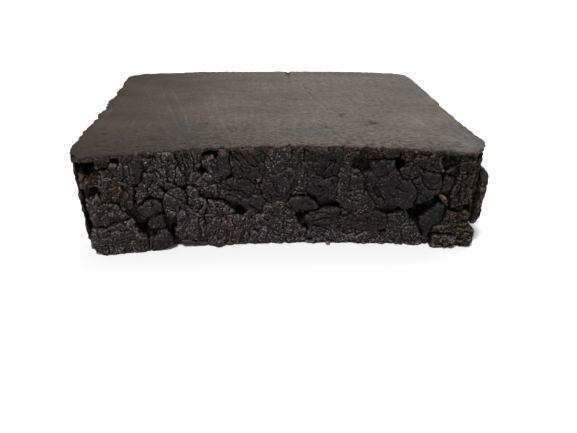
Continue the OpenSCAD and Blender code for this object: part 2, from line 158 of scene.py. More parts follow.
def cells(x, z, size, seed):
    """Flat cells: distance to the nearest and next centre, a number and a tilted plane for each."""
    qx, qz = x / size + 500.0, z / size + 500.0
    bx, bz = np.floor(qx).astype(np.int64), np.floor(qz).astype(np.int64)
    near = second = np.full(len(x), 9.0)
    mark = tilt = np.zeros(len(x))
    zero = np.zeros_like(bx)
    for dx in (-1, 0, 1):
        for dz in (-1, 0, 1):
            ix, iz = bx + dx, bz + dz
            shift_x, shift_z, lean_x, lean_z, number = (hash01(ix, zero, iz, seed + k) for k in range(5))
            ox, oz = qx - ix - shift_x, qz - iz - shift_z
            d = np.sqrt(ox ** 2 + oz ** 2)
            closer = d < near
            second = np.where(closer, near, np.minimum(second, d))
            slope = (ox * (lean_x - 0.5) + oz * (lean_z - 0.5)) * size
            mark = np.where(closer, number, mark)
            tilt = np.where(closer, slope, tilt)
            near = np.where(closer, d, near)
    return near * size, second * size, mark, tilt


# ------------ mesh helpers

def vertex_table(mesh, kind):
    flat = np.empty(len(mesh.vertices) * 3, np.float32)
    mesh.vertices.foreach_get(kind, flat)
    return flat.reshape(-1, 3).astype(np.float64)


def points(thing):
    return vertex_table(thing.data, "co") / MM


def normals(piece):
    return vertex_table(piece.data, "normal")


def add_object(name, data):
    thing = bpy.data.objects.new(name, data)
    scene.collection.objects.link(thing)
    return thing


def new_piece(node, corners, faces):
    mesh = bpy.data.meshes.new("visual_" + node)
    mesh.from_pydata((corners * MM).tolist(), [], faces)
    mesh.validate()
    mesh.shade_smooth()
    return add_object("visual_" + node, mesh)


def set_points(piece, p):
    piece.data.vertices.foreach_set("co", (p * MM).astype(np.float32).ravel())
    piece.data.update()


def softened(node, voxel, rounds):
    """A finely meshed copy of a CAD node with its edges eased, and where its points are."""
    mesh = nodes[node].data.copy()
    mesh.materials.clear()
    piece = add_object("visual_" + node, mesh)
    mod = piece.modifiers.new("fine", "REMESH")
    mod.mode = "VOXEL"
    mod.voxel_size = voxel * MM
    mod.use_smooth_shade = True
    deps = bpy.context.evaluated_depsgraph_get()
    fine = bpy.data.meshes.new_from_object(piece.evaluated_get(deps))
    piece.modifiers.clear()
    piece.data = fine
    bpy.data.meshes.remove(mesh)
    p = relaxed(piece, points(piece), rounds)
    set_points(piece, p)
    return piece, p


def relaxed(piece, p, rounds):
    """Rounds sharp facets by pulling each point halfway to the mean of its neighbours."""
    e = np.empty(len(piece.data.edges) * 2, np.int32)
    piece.data.edges.foreach_get("vertices", e)
    e = e.reshape(-1, 2)
    n = len(p)
    count = np.bincount(e.ravel(), minlength=n).astype(float)
    for _ in range(rounds):
        s = np.empty_like(p)
        for k in range(3):
            s[:, k] = np.bincount(e[:, 0], p[e[:, 1], k], n) + np.bincount(e[:, 1], p[e[:, 0], k], n)
        p = p + 0.5 * (s / count[:, None] - p)
    return p


def add_layers(piece, **layers):
    for name, values in layers.items():
        layer = piece.data.attributes.new(name, "FLOAT", "POINT")
        values = np.broadcast_to(np.asarray(values, np.float32), len(piece.data.vertices))
        layer.data.foreach_set("value", np.ascontiguousarray(values))


# ------------ outlines of the clods

def ring_of(node):
    """The outline of a clod seen from the front, as points [x, z] in order."""
    v = points(nodes[node])
    back = v[:, 1].max() - 0.05
    keys = [tuple(np.round(p[[0, 2]], 2)) if p[1] > back else None for p in v]
    used = {}
    for poly in nodes[node].data.polygons:
        names = [keys[i] for i in poly.vertices]
        if None not in names:
            for k in names:
                used[k] = used.get(k, 0) + 1
    hub = max(used, key=used.get)
    ring = np.array([k for k in used if k != hub])
    order = np.argsort(np.arctan2(ring[:, 1] - hub[1], ring[:, 0] - hub[0]))
    return ring[order]


# for each clod: its outline, carried a little way up into the skin, how far it stands out of the broken
# front, and where its back is
RINGS, PROUD, BACK = {}, {}, {}
INTO_SKIN = 0.6
for clod in CLODS:
    ring = ring_of(clod)
    ring[ring[:, 1] > top_z(ring[:, 0]) - SKIN_T - 0.25, 1] += INTO_SKIN
    RINGS[clod] = ring
    v = points(nodes[clod])
    tip = v[np.argmin(v[:, 1] - face_y(v[:, 0], v[:, 2]))]
    PROUD[clod] = face_y(tip[0], tip[2]) - tip[1] - 0.5
    BACK[clod] = v[:, 1].max()


# farther than anything on the front
FAR = 99.0


def span_distance(x, z, a, b):
    """Distance from each point to the straight line between two points."""
    ex, ez = b[0] - a[0], b[1] - a[1]
    t = np.clip(((x - a[0]) * ex + (z - a[1]) * ez) / (ex * ex + ez * ez), 0, 1)
    return np.hypot(x - a[0] - t * ex, z - a[1] - t * ez)


def inside_distance(x, z, ring, whole=False):
    """How far each point is inside a ring, below 0 outside; foot and skin edges count only if whole."""
    best = np.full(len(x), FAR)
    within = np.zeros(len(x), bool)
    lid = ring[:, 1] > top_z(ring[:, 0]) - SKIN_T + 0.2
    n = len(ring)
    for i in range(n):
        a, b = ring[i], ring[(i + 1) % n]
        (ax, az), (bx, bz) = a, b
        crosses = (az > z) != (bz > z)
        if az != bz:
            within ^= crosses & (x < (bx - ax) * (z - az) / (bz - az) + ax)
        if not whole and ((az < 0.02 and bz < 0.02) or (lid[i] and lid[(i + 1) % n])):
            continue
        best = np.minimum(best, span_distance(x, z, a, b))
    return np.where(within, best, -best)


def wander(x, z):
    """Bends straight edges the same way in every piece, so that neighbours still fit."""
    p = flat3(x, z)
    dx, dz = (0.8 * fbm(p, 6.0, a, 2) + 0.38 * fbm(p, 2.2, b, 2) + 0.16 * fbm(p, 0.9, c, 1)
              for a, b, c in ((31, 53, 67), (47, 61, 71)))
    side = ease(HALF_W - np.abs(x - MID_X), 1.5, 6)
    return x + dx * (0.25 + 0.75 * side), z + dz * ease(z, 0, 3) * ease(TOP - z, 0.5, 3)


# ------------ surface of the broken front

# how smooth a clod is, from 0 (crumbly) to 1 (smooth lump)
SMOOTH = {n: 0.7 for n in SLOT if SLOT[n] == "smooth_char"}
SMOOTH.update(
    big_lump=0.85, smooth_cheek=0.85, blue_lump=1.0, olive_lens=0.9, upper_knob=0.8, leaf_clod=0.75,
    diagonal_plate=0.45, lens_flake=0.45, fan_plate=0.5, smooth_top_clod=0.5, block_clod=0.6,
    middle_knob=0.8, lower_knob=0.6, blue_top_knob=0.9, smooth_belly=0.75, oval_plate=0.85,
    mottled_clod=0.55, centre_lower_clod=0.6, lower_left_clod=0.6, left_shoulder_clod=0.6,
    knuckle_clod=0.5, arched_knob=0.55, pit_flank_clod=0.4, glossy_foot=0.4, bottom_strip=0.45,
    right_of_centre_clod=0.7, centre_top_clod=0.65, wave_flank_clod=0.6, granular_clod=0.3,
    right_shelf=0.4, speckled_clod=0.4, flat_flake=0.5, left_shelf=0.45,
)
# how many painted glints and pale specks a clod gets, and how strong its purple bloom is
GLINTS_AND_BLOOM = dict(
    glossy_foot=1.0, bottom_strip=1.0, fibrous_clod=0.7, granular_clod=0.7, lower_left_clod=0.5,
    brown_crumb_clod=0.7, pitted_clod=0.6, upper_left_clod=0.5, top_ledge_clod=0.5, speckled_clod=0.5,
    blue_lump=0.0, olive_lens=0.1, smooth_cheek=0.15, big_lump=0.2, leaf_clod=0.1, upper_knob=0.2,
)
# how brown a clod is
WARM = dict(
    brown_crumb_clod=0.8, left_edge_knob=0.7, top_left_knob=0.8, left_wedge_clod=0.5, layered_mid=0.55,
    layered_upper=0.5, right_corner_stack=0.8, mid_base_lump=0.6, fibrous_clod=0.75, granular_clod=0.6,
    upper_left_clod=0.65, left_shoulder_clod=0.6, lower_left_clod=0.55, flat_flake=0.5,
    diagonal_plate=0.35, big_lump=0.05, smooth_cheek=0.05, blue_lump=0.0, block_clod=0.05,
    smooth_top_clod=0.1, bottom_strip=0.15, right_shelf=0.45, left_shelf=0.4, right_of_centre_clod=0.4,
    pit_flank_clod=0.35,
)
# clods that stand apart from their neighbours, and how far their faces swell
APART = dict(
    upper_knob=0.9, middle_knob=0.9, lower_knob=0.6, arched_knob=0.8, lens_flake=0.5, big_lump=0.6,
    smooth_cheek=0.4, leaf_clod=0.4, blue_lump=0.8, left_wedge_clod=0.3, oval_plate=0.3, flat_flake=0.3,
    bean_clod=0.3, speckled_clod=0.3, olive_lens=0.4, left_shoulder_clod=0.5, layered_mid=0.5,
    knuckle_clod=0.4, long_splinter=0.4,
)
# direction of the layers in a clod, in degrees, and how far they run
GRAIN = dict(
    fan_plate=(-52, 2.6), diagonal_plate=(-22, 2.6), lens_flake=(12, 3.2), fibrous_clod=(84, 3.2),
    layered_mid=(86, 2.4), layered_upper=(4, 2.4), right_corner_stack=(2, 2.6), mid_base_lump=(-4, 2.2),
    upright_post=(88, 2.4), upright_slab=(86, 2.0), granular_clod=(70, 1.5), wave_flank_clod=(80, 1.4),
    centre_top_clod=(-60, 1.8), seam_splinter=(-55, 2.2), flat_flake=(-25, 2.0), smooth_belly=(-14, 2.0),
    bottom_strip=(-8, 1.6), big_lump=(-40, 1.5), right_shelf=(75, 1.4), speckled_clod=(-65, 1.5),
    top_ledge_clod=(85, 1.3),
)

# cracks that can be seen on the front, as (depth, points (x, z)); x is from the middle of the block here
# and in the tables below
CRACKS = [
    (0.9, (-18, 42.5), (-15.2, 40.4), (-13.2, 37.6), (-10.2, 34.6)),
    (0.6, (-13, 42), (-11.2, 39.8), (-9.4, 36.8), (-8.9, 33.2)),
    (0.6, (-20, 42.4), (-17.4, 39.6), (-15.6, 36.9)),
    (0.5, (-17.2, 37.2), (-15.8, 34.6), (-14.6, 32.8)),
    (0.9, (-23.2, 29.2), (-20.5, 28.2), (-18.6, 26.2), (-15.4, 25.2), (-14.2, 23.8)),
    (0.6, (-20.8, 24.3), (-18.2, 23.3), (-16.4, 21.9)),
    (1.0, (-13, 19.4), (-11.8, 18), (-10.6, 16.9), (-8.8, 16.5)),
    (0.7, (-12.9, 29.9), (-11.2, 28.6), (-10.5, 26.4)),
    (1.0, (2.9, 25.6), (3.8, 25), (6.2, 24.8), (8.4, 24.4)),
    (0.8, (-4.2, 28.2), (-3.2, 25.8), (-1.4, 23.6), (0.4, 21.6)),
    (0.5, (-6.4, 25.6), (-4.9, 23.2), (-4.4, 21.2)),
    (0.7, (1, 18.4), (2.4, 17.2), (3.4, 16)),
    (0.9, (9.2, 11.3), (11.4, 11.4), (13.2, 12.2), (15.4, 13.4), (18.2, 13.2)),
    (0.7, (11.3, 9.4), (13.8, 9.2), (16.2, 9.9)),
    (0.6, (12.4, 15.3), (15.4, 15.7), (18.4, 15.1)),
    (0.9, (-3.4, 6.6), (-1.8, 5.3), (0.6, 4.9), (3.8, 5)),
    (0.5, (-9.6, 4.6), (-8.4, 2.6), (-7.2, 0)),
    (0.6, (13.4, 27.2), (14.1, 25), (14.6, 23.4)),
    (1.0, (41.2, 27.6), (43.2, 26.6), (46.2, 25.4)),
    (0.6, (39.4, 24.6), (42, 23.4), (44.6, 23.1)),
    (0.5, (34.6, 31.6), (37.2, 32.8), (38.8, 34.4)),
    (1.2, (50.8, 32), (50.9, 30), (52, 28.2), (53.9, 26.8), (56.4, 27)),
    (0.5, (51.4, 24.6), (53.4, 23.4), (54.4, 21.8)),
    (0.8, (48, 13.6), (47.2, 11.4), (46, 9.8)),
    (0.6, (50.4, 8.4), (51, 5.2), (52.6, 2)),
    (0.7, (24.6, 12.4), (27.2, 11.2), (29.8, 11)),
    (0.5, (31.8, 12.6), (34.6, 11.4), (37.4, 11.4)),
    (0.6, (23, 22.6), (25.6, 21), (28.4, 20.6)),
    (0.9, (-68.4, 4.6), (-66.6, 4.1), (-66.6, 2), (-67, 0)),
    (0.5, (-62.6, 6.4), (-60, 6.8), (-57.4, 6.3), (-55.6, 6.8)),
    (0.5, (-58.6, 3.4), (-58.2, 1.6), (-57.8, 0)),
    (0.6, (-65.6, 10.8), (-63, 11.4), (-60.4, 10.6), (-58, 11.2)),
    (1.2, (-43.2, 25.7), (-41.6, 25.2), (-40, 24), (-38.2, 22.6)),
    (0.8, (-43.4, 17.8), (-42, 18.4), (-40.6, 17.6)),
    (0.9, (-42, 34.2), (-41.8, 32.6), (-42.2, 31)),
    (0.8, (-38.9, 36.2), (-38.7, 33.4), (-39.6, 31.8)),
    (0.8, (-45.8, 35), (-44.4, 34.2), (-43.9, 32.6)),
    (0.7, (-36.2, 41.2), (-35.9, 37), (-34.9, 33), (-34.8, 30)),
    (0.6, (-33, 41.4), (-32.2, 38.8), (-32.3, 35.8)),
    (0.8, (-47, 41.6), (-46.8, 40), (-47.2, 38.4)),
    (0.8, (-43.2, 41.6), (-43.6, 40), (-43, 38.8)),
    (0.7, (-61.6, 37), (-60.2, 35.2), (-60.6, 33), (-59, 31)),
    (0.6, (-57, 36.4), (-56.4, 34), (-57.4, 32)),
    (0.6, (-50.6, 21.6), (-49.2, 21.2), (-47.6, 21.6)),
    (0.8, (65.2, 31.4), (65.4, 27), (65.9, 22.6), (66.6, 18.6)),
    (0.7, (67.8, 31.6), (67.5, 27.4), (67.8, 23)),
    (0.8, (63.6, 11.9), (65.4, 12.1), (67.2, 11.5)),
    (0.9, (68.2, 12.2), (70.4, 12.6), (72.4, 12.2)),
    (0.9, (68.2, 7.6), (70.2, 7.9), (73.6, 7.4)),
    (0.7, (68.4, 4), (71, 3.6), (74, 4.2)),
]

# deep hollows between the clods, as (x, z, radius, depth)
HOLLOWS = [
    (-69.6, 38.4, 2.4, 9), (-68.5, 28.2, 1.8, 6), (-60, 40, 1.3, 3), (-54.6, 28.6, 1.3, 4),
    (-52.6, 10, 1.6, 4), (-51.4, 8.2, 1.2, 3), (-42.2, 5.5, 1.4, 4), (-42.4, 9, 1.0, 3),
    (-26.8, 42.2, 1.6, 8), (-24.6, 40.2, 1.0, 4), (-29.6, 34, 1.2, 4), (-16, 15.9, 1.6, 4),
    (-8.4, 24.6, 0.9, 4), (6.2, 12, 1.4, 3), (8.6, 6.5, 0.8, 2), (28.2, 36.6, 1.0, 1.5),
    (42.4, 35.8, 1.6, 6), (47.4, 32.2, 1.2, 4), (31.8, 27, 1.2, 5), (48.4, 15.2, 2.4, 5),
    (53.6, 18, 2.2, 5), (52.8, 13, 1.8, 4), (58.4, 22, 1.4, 5), (58.6, 38, 1.2, 3), (61.4, 38.8, 1.0, 2),
    (58.8, 33, 1.0, 5), (56.4, 5, 1.0, 3), (65.4, 16.6, 1.2, 3), (71, 22, 1.0, 5), (70.8, 30, 0.9, 5),
    (21, 10, 1.0, 3), (20.8, 18.4, 1.0, 3),
]


def run_distance(x, z, run):
    """Distance from each point to a drawn run of points."""
    best = np.full(len(x), FAR)
    for a, b in zip(run[:-1], run[1:]):
        best = np.minimum(best, span_distance(x - MID_X, z, a, b))
    return best


def crack_depth(x, z, lo, hi):
    """Depth of the drawn cracks, a little wavy and uneven in width."""
    p = flat3(x, z)
    wx, wz = x + 0.35 * fbm(p, 1.6, 211, 2), z + 0.35 * fbm(p, 1.6, 223, 2)
    width = 0.26 + 0.14 * fbm(p, 3.0, 227, 1)
    out = np.zeros(len(x))
    for depth, *run in CRACKS:
        xs, zs = [a + MID_X for a, _ in run], [b for _, b in run]
        if max(xs) < lo[0] - 1 or min(xs) > hi[0] + 1 or max(zs) < lo[1] - 1 or min(zs) > hi[1] + 1:
            continue
        d = run_distance(wx, wz, run)
        out = np.maximum(out, depth * bell(d, width))
    return out


def crumb(x, z, smooth, grain, seed):
    """Height of the broken surface of a clod: tilted facets, grains, hair cracks and pits."""
    turn, stretch = math.radians(grain[0]), grain[1]
    c, s = math.cos(turn), math.sin(turn)
    p = flat3(x, z, seed)
    wx, wz = x + 0.7 * fbm(p, 2.6, 71, 2), z + 0.7 * fbm(p, 2.6, 79, 2)
    along, across = (wx * c + wz * s) / stretch, -wx * s + wz * c
    rough = 1 - smooth
    n1, n2, mark, tilt = cells(along, across, 2.7, seed)
    _, _, mark2, tilt2 = cells(along * 1.1, across, 1.15, seed + 9)
    facets = ((mark - 0.5) * 0.8 + tilt * 0.85) * (0.3 + 0.7 * rough)
    grains = ((mark2 - 0.5) * 0.3 + tilt2 * 0.6) * (0.2 + 0.8 * rough)
    patchy = 0.2 + 1.2 * ease(fbm(flat3(x, z), 5.0, 113, 2), -0.3, 0.3)
    h1, h2, mark3, tilt3 = cells(wx, wz, 4.6, seed + 31)
    broad = ((mark3 - 0.5) * 0.7 + tilt3 * 0.5) * (0.25 + 0.75 * rough)
    gate = ease(fbm(p, 5.0, 89, 2), -0.15 - 0.2 * rough, 0.25)
    hair = (1 - ease(h2 - h1, 0.0, 0.42)) * gate * (0.35 + 0.4 * rough)
    seams = (1 - ease(n2 - n1, 0.0, 0.3)) * ease(mark, 0.35, 0.6) * 0.35 * rough
    k1, _, kmark, _ = cells(wx, wz, 2.0, seed + 47)
    pits = (1 - ease(k1, 0.1, 0.55)) * (kmark > 0.7) * (0.15 + 0.6 * rough)
    ridge = np.abs(fbm(flat3(along * 1.3, across), 1.5, 103, 2))
    slivers = 0.3 * rough * (1 - ease(ridge, 0, 0.14))
    fine = (0.07 + 0.1 * rough) * fbm(p, 0.75, 97, 2)
    swell = 0.4 * fbm(p, 6.0, 101, 2)
    return swell + broad + facets + fine + patchy * (grains - slivers) - hair - seams - pits


def box_blur(a, r):
    """The mean of each grid point's surroundings, r steps to each side."""
    for axis in (0, 1):
        pad = [(r + 1, r) if k == axis else (0, 0) for k in (0, 1)]
        s = np.cumsum(np.pad(a, pad, mode="edge"), axis)
        n = 2 * r + 1
        hi = np.take(s, range(n, s.shape[axis]), axis)
        lo = np.take(s, range(0, s.shape[axis] - n), axis)
        a = (hi - lo) / n
    return a


# ------------ building a clod

# spacing of the grid that a clod's face is made on
STEP = 0.28


def patch_from(start, free):
    """The cells that can be reached from a start cell through free cells, as a mask."""
    rows, columns = free.shape
    patch = np.zeros_like(free)
    patch[start] = True
    stack = [start]
    while stack:
        j, i = stack.pop()
        for a, b in ((j + 1, i), (j - 1, i), (j, i + 1), (j, i - 1)):
            if 0 <= a < rows and 0 <= b < columns and free[a, b] and not patch[a, b]:
                patch[a, b] = True
                stack.append((a, b))
    return patch


def kept_cells(mask):
    """Grid cells whose corners are all inside: one patch, no holes and no cells that meet at a point."""
    free = mask[:-1, :-1] & mask[1:, :-1] & mask[:-1, 1:] & mask[1:, 1:]
    best = np.zeros_like(free)
    for start in zip(*np.nonzero(free)):
        if free[start]:
            patch = patch_from(start, free)
            free = free & ~patch
            if patch.sum() > best.sum():
                best = patch
    keep = ~patch_from((0, 0), ~np.pad(best, 1))
    for _ in range(20):
        a, b, c, d = keep[:-1, :-1], keep[1:, 1:], keep[1:, :-1], keep[:-1, 1:]
        cross = (a & b & ~c & ~d) | (c & d & ~a & ~b)
        if not cross.any():
            break
        for j, i in zip(*np.nonzero(cross)):
            keep[j:j + 2, i:i + 2] = True
    return keep[1:-1, 1:-1]


# rows of points along a clod's sides, as shares of the way to its back, and how dark each row is painted,
# as shade deeper in the crack
WALL_ROWS = (0.1, 0.3, 0.6, 1.0)
WALL_SHADE = (0.75, 0.9, 1.0, 1.0)
# how far a clod's grid goes past its outline, and its back into the core
MARGIN = 1.8
INTO_CORE = 0.25


def rim_of(keep, quads):
    """The points round the edge of a patch of cells, in order."""
    follower = {}
    padded = np.pad(keep, 1)
    for j, i, (a, b, c, d) in zip(*(k.tolist() for k in np.nonzero(keep)), quads):
        if not padded[j, i + 1]:
            follower[a] = b
        if not padded[j + 1, i + 2]:
            follower[b] = c
        if not padded[j + 2, i + 1]:
            follower[c] = d
        if not padded[j + 1, i]:
            follower[d] = a
    rim = [next(iter(follower))]
    while follower[rim[-1]] != rim[0]:
        rim.append(follower[rim[-1]])
    return np.array(rim)


def wall_faces(rim, first, rows):
    """The quads of a wall that starts at a rim, with rows of new points from index first on."""
    faces = []
    for row in range(rows):
        here = first + row * len(rim) + np.arange(len(rim))
        faces += np.stack([rim, here, next_of(here), next_of(rim)], 1).tolist()
        rim = here
    return faces, rim


def clod_edge(name, x, z, lo, hi):
    """How far each point is inside a clod that fills tight cracks, and how tight the crack there is."""
    wx, wz = wander(x, z)
    own = inside_distance(wx, wz, RINGS[name])
    other = np.full(len(x), FAR)
    for k, r in RINGS.items():
        if k != name and (r.min(0) < hi + 2).all() and (r.max(0) > lo - 2).all():
            other = np.minimum(other, np.maximum(-inside_distance(wx, wz, r, True), 0))
    gap = np.maximum(other - own, 0)
    tight = 1 - ease(gap, 1.6, 3.2)
    uneven = 0.5 + 0.5 * fbm(flat3(x, z), 3.4, 107, 2)
    chip = name == "orange_chip"
    grow = tight * (0.5 * gap + 0.06) * (0.62 + 0.55 * uneven) * (0.5 if name in APART or chip else 1)
    grow = grow + (1 - tight) * 0.9 * ease(np.abs(x - MID_X + 2), 66, 70)
    return own + grow - 0.3 * chip, tight


def snap_rim(px, pz, loop, edge, at):
    """Slides the rim's points onto the outline, where the edge distance is 0."""
    gz, gx = (g.ravel()[at] for g in np.gradient(edge, STEP))
    slope = np.hypot(gx, gz) + 1e-6
    reach = edge.ravel()[at] / slope
    slide = np.where(reach > 1.5 * STEP, 0, reach) / slope
    px[loop] -= slide * gx
    pz[loop] -= np.where(pz[loop] <= 0.01, 0, slide * gz)


def face_layers(name, x, z, grid, crack_shade):
    """The colour layers of a clod's face, from its relief and the depth of its grooves and cracks, with
    painted shade in hollows and cracks and painted highlights on crests.
    """
    relief = (box_blur(grid, 2) - grid).ravel()
    wide = (box_blur(grid, 10) - grid).ravel()
    # painted shade: darker in the narrow and the broad hollows of the relief, and in the grooves and cracks
    cavity = np.clip(-relief / 0.2 - 0.2, 0, 1) * 0.8 + np.clip(-wide / 1.2 - 0.2, 0, 1) * 0.3
    # how far the face tilts up, so that the painted highlights sit on the crests that face the light from
    # above
    lift_z = np.gradient(box_blur(grid, 1), STEP, axis=0).ravel()
    return {"cavity": np.clip(cavity + crack_shade, 0, 1),
            "crest": np.clip(relief / 0.14 - 0.45, 0, 1) * (0.25 + 0.75 * ease(lift_z, -0.15, 0.35)),
            "under": ease(z, top_z(x) - 4.2, top_z(x) - SKIN_T),
            "gloss": np.full(len(x), GLINTS_AND_BLOOM.get(name, 0.4)),
            "warm": np.full(len(x), WARM.get(name, 0.3)),
            "tone": 1.05 - 0.33 * ease(x - MID_X, -15, 35) * ease(z, 4, 12)}


def clod_piece(name):
    lo, hi = RINGS[name].min(0) - MARGIN, RINGS[name].max(0) + MARGIN
    lo[1] = max(lo[1], 0.0)
    gx, gz = np.meshgrid(np.arange(lo[0], hi[0], STEP), np.arange(lo[1], hi[1], STEP))
    x, z = gx.ravel(), gz.ravel()
    inside, tight = clod_edge(name, x, z, lo, hi)
    edge = inside.reshape(gx.shape)
    keep = kept_cells((edge > 0) & (gz < top_z(gx) - SKIN_T + 0.5))

    # the face: broken texture, drawn cracks, a groove along tight cracks and a rounded brink at open ones
    smooth, number = SMOOTH.get(name, 0.25), CLODS.index(name)
    height = crumb(x, z, smooth, GRAIN.get(name, (number * 47 % 180, 1.25)), 300 + 7 * number)
    cracks = crack_depth(x, z, lo, hi)
    e = np.maximum(inside, 0)
    strength = 0.35 + 0.65 * ease(0.5 + 0.5 * fbm(flat3(x, z), 4.2, 109, 2), 0.25, 0.75)
    groove = tight * strength * 0.95 * bell(e, 0.27)
    brink = (1 - tight) * 1.5 * (1 - ease(e, -0.4, 1.5)) ** 1.3
    dome = 0.3 * (1 - np.exp(-e / 1.6)) + (0.5 * smooth + APART.get(name, 0.0)) * (1 - np.exp(-e / 2.4))
    foot = 0.3 * (1 - ease(z, -0.3, 1.1))
    y = face_y(x, z) - PROUD[name] * 0.85 - dome - height + cracks + groove + brink + foot + 0.3

    # the face's quads, with its rim on the outline
    used = np.zeros(gx.shape, bool)
    for corner in (used[:-1, :-1], used[1:, :-1], used[:-1, 1:], used[1:, 1:]):
        corner |= keep
    index = np.full(gx.shape, -1)
    index[used] = np.arange(used.sum())
    j, i = np.nonzero(keep)
    quads = np.stack([index[j, i], index[j, i + 1], index[j + 1, i + 1], index[j + 1, i]], 1).tolist()
    pick = used.ravel()
    px, py, pz = x[pick], y[pick], z[pick]
    loop = rim_of(keep, quads)
    snap_rim(px, pz, loop, edge, np.flatnonzero(pick)[loop])
    pz = np.maximum(pz, 0)

    # side walls back to the core, then one face behind
    co = [np.stack([px, py, pz], 1)]
    back = BACK[name] + INTO_CORE
    for t in WALL_ROWS:
        co.append(np.stack([px[loop], py[loop] + t * (back - py[loop]), pz[loop]], 1))
    walls, last = wall_faces(loop, len(px), len(WALL_ROWS))
    piece = new_piece(name, np.concatenate(co), quads + walls + [last[::-1].tolist()])

    # painted shade on the walls, less of it near the ends of the block, where the walls are seen in the
    # open
    near_end = ease(np.abs(np.tile(px[loop], len(WALL_ROWS)) - MID_X), 70, 72)
    wall_shade = np.repeat(WALL_SHADE, len(loop)) * (1 - 0.85 * near_end)
    on_walls = {"cavity": wall_shade, "tone": np.ones_like(wall_shade)}
    # painted shade in the grooves, the drawn cracks and the rounded brinks of open cracks
    crack_shade = groove * 0.6 + cracks * 0.6 + brink * 0.2
    layers = face_layers(name, x, z, y.reshape(gx.shape), crack_shade)
    add_layers(piece, **{k: np.concatenate([a[pick], on_walls.get(k, np.zeros_like(wall_shade))])
                         for k, a in layers.items()})
    return piece


# ------------ core, ends and crumb

def core_piece():
    piece, p = softened("core_mass", 1.0, 2)
    nrm = normals(piece)
    back = ease(nrm[:, 1], 0.2, 0.8)
    front = ease(-nrm[:, 1], 0.3, 0.8) * (p[:, 1] < CORE_FRONT + 1.5)
    sides = ease(np.abs(nrm[:, 0]), 0.4, 0.9)
    wx, wz = p[:, 0] + 2.2 * fbm(p, 7, 71, 2), p[:, 2] + 2.2 * fbm(p, 7, 73, 2)
    n1, n2, mark, tilt = cells(wx, wz, 9.0, 91)
    _, _, mark2, tilt2 = cells(wx, wz, 3.2, 97)
    crack = 1 - ease(n2 - n1, 0.0, 1.3)
    lift = (mark - 0.7) * 1.5 - crack * 1.8 + tilt * 0.35 + (mark2 - 0.6) * 0.7 + tilt2 * 0.4
    lift = np.minimum(lift + fbm(p, 2.5, 99, 2) * 0.4 - 0.4, 0.5)
    hollow = np.zeros(len(p))
    warp_x = p[:, 0] - MID_X + 1.1 * fbm(p, 2.4, 143, 2)
    warp_z = p[:, 2] + 1.1 * fbm(p, 2.4, 145, 2)
    for x, z, r, d in HOLLOWS:
        hollow = np.maximum(hollow, d * bell(np.hypot(warp_x - x, warp_z - z), r))
    bed = 2.4 + 0.9 * fbm(p, 3.5, 141, 2) + (mark2 - 0.5) * 0.8 + 1.6 * hollow
    bed = bed + 3.0 * ease(np.abs(p[:, 0] - MID_X), 68.5, 72)
    face = np.minimum(face_y(p[:, 0], p[:, 2]) + bed, CORE_FRONT)
    q = p + nrm * (lift * back)[:, None]
    q[:, 1] += (face - p[:, 1]) * front
    q[:, 2] -= (CROWN - crown_at(p[:, 1])) * ease(p[:, 2], 30, 42)
    q[:, 2] = np.where(p[:, 2] < 0.6, p[:, 2], q[:, 2])
    set_points(piece, q)
    # painted shade: the cracks on the back, the front seen through the gaps between clods, the deep hollows
    # and the sides are darkened
    add_layers(piece, cavity=np.clip(crack * back + front * 0.4 + 0.15 * hollow + sides * 0.3, 0, 1),
               crest=0.0, under=0.0, gloss=0.0, warm=0.2, tone=1.0)
    return piece


def rind_piece(name):
    piece, p = softened(name, 0.6, 2)
    nrm = normals(piece)
    q3 = p + 1.4 * fbm3(p, 5.0, (121, 123, 127))
    n1, n2, mark, tilt = cells(q3[:, 1] / 1.8, q3[:, 2], 4.4, 131)
    _, _, mark2, tilt2 = cells(q3[:, 1], q3[:, 2], 1.7, 133)
    crack = 1 - ease(n2 - n1, 0.0, 0.7)
    lift = (mark - 0.6) * 0.9 - crack * 0.7 + tilt * 0.35 + (mark2 - 0.5) * 0.5 + tilt2 * 0.5
    lift = (lift + 0.5 * fbm(p, 4.0, 137, 3) - 0.1) * 0.4 - 0.1
    move = nrm * np.clip(lift, -0.7, 0.25)[:, None]
    rag = 0.5 * fbm(p, 3.0, 139, 3)
    move[:, 1] += rag * ease(-nrm[:, 1], 0.2, 0.8)
    move[:, 0] -= 0.7 * (name == "left_end_rind")
    move[:, 2] *= ease(p[:, 2], 0.1, 1.5)
    q = p + move
    q[:, 2] = np.maximum(q[:, 2], 0.0)
    set_points(piece, q)
    # painted shade in the rind's cracks, and painted highlights on its raised cells
    add_layers(piece, cavity=np.clip(crack * 0.9, 0, 1), crest=np.clip(mark2 - 0.5, 0, 1),
               under=0.0, gloss=0.0, warm=0.6, tone=1.3 if name == "right_end_flake" else 1.0)
    return piece


def crumb_piece():
    piece, p = softened("base_crumb", 0.16, 1)
    p = p + 0.12 * fbm3(p, 0.8, (151, 153, 157))
    p[:, 2] = np.maximum(p[:, 2], 0)
    set_points(piece, p)
    # a little painted crest highlight all over the crumb
    add_layers(piece, cavity=0.0, crest=0.2, under=0.0, gloss=0.2, warm=0.5, tone=1.0)
    return piece


# ------------ the burnished skin

def skin_sections():
    """The four edges of the skin's plan, as coordinate tables taken from the CAD piece."""
    v = points(nodes["top_skin"])[:, :2]
    v = np.unique(np.round(v, 2), axis=0)
    c = v.mean(0)
    side = np.abs(v[:, 0] - MID_X) > HALF_W - 6
    left = v[side & (v[:, 0] < c[0])]
    right = v[side & (v[:, 0] > c[0])]
    front = v[v[:, 1] < -45]
    back = v[v[:, 1] > SKIN_HI[1] - 6]
    out = []
    for part, axis, pick in ((left, 1, np.min), (right, 1, np.max), (front, 0, np.min), (back, 0, np.max)):
        keys = np.unique(np.round(part[:, axis], 1))
        values = np.array([pick(part[np.abs(part[:, axis] - k) < 0.3][:, 1 - axis]) for k in keys])
        out.append((keys, values))
    return out


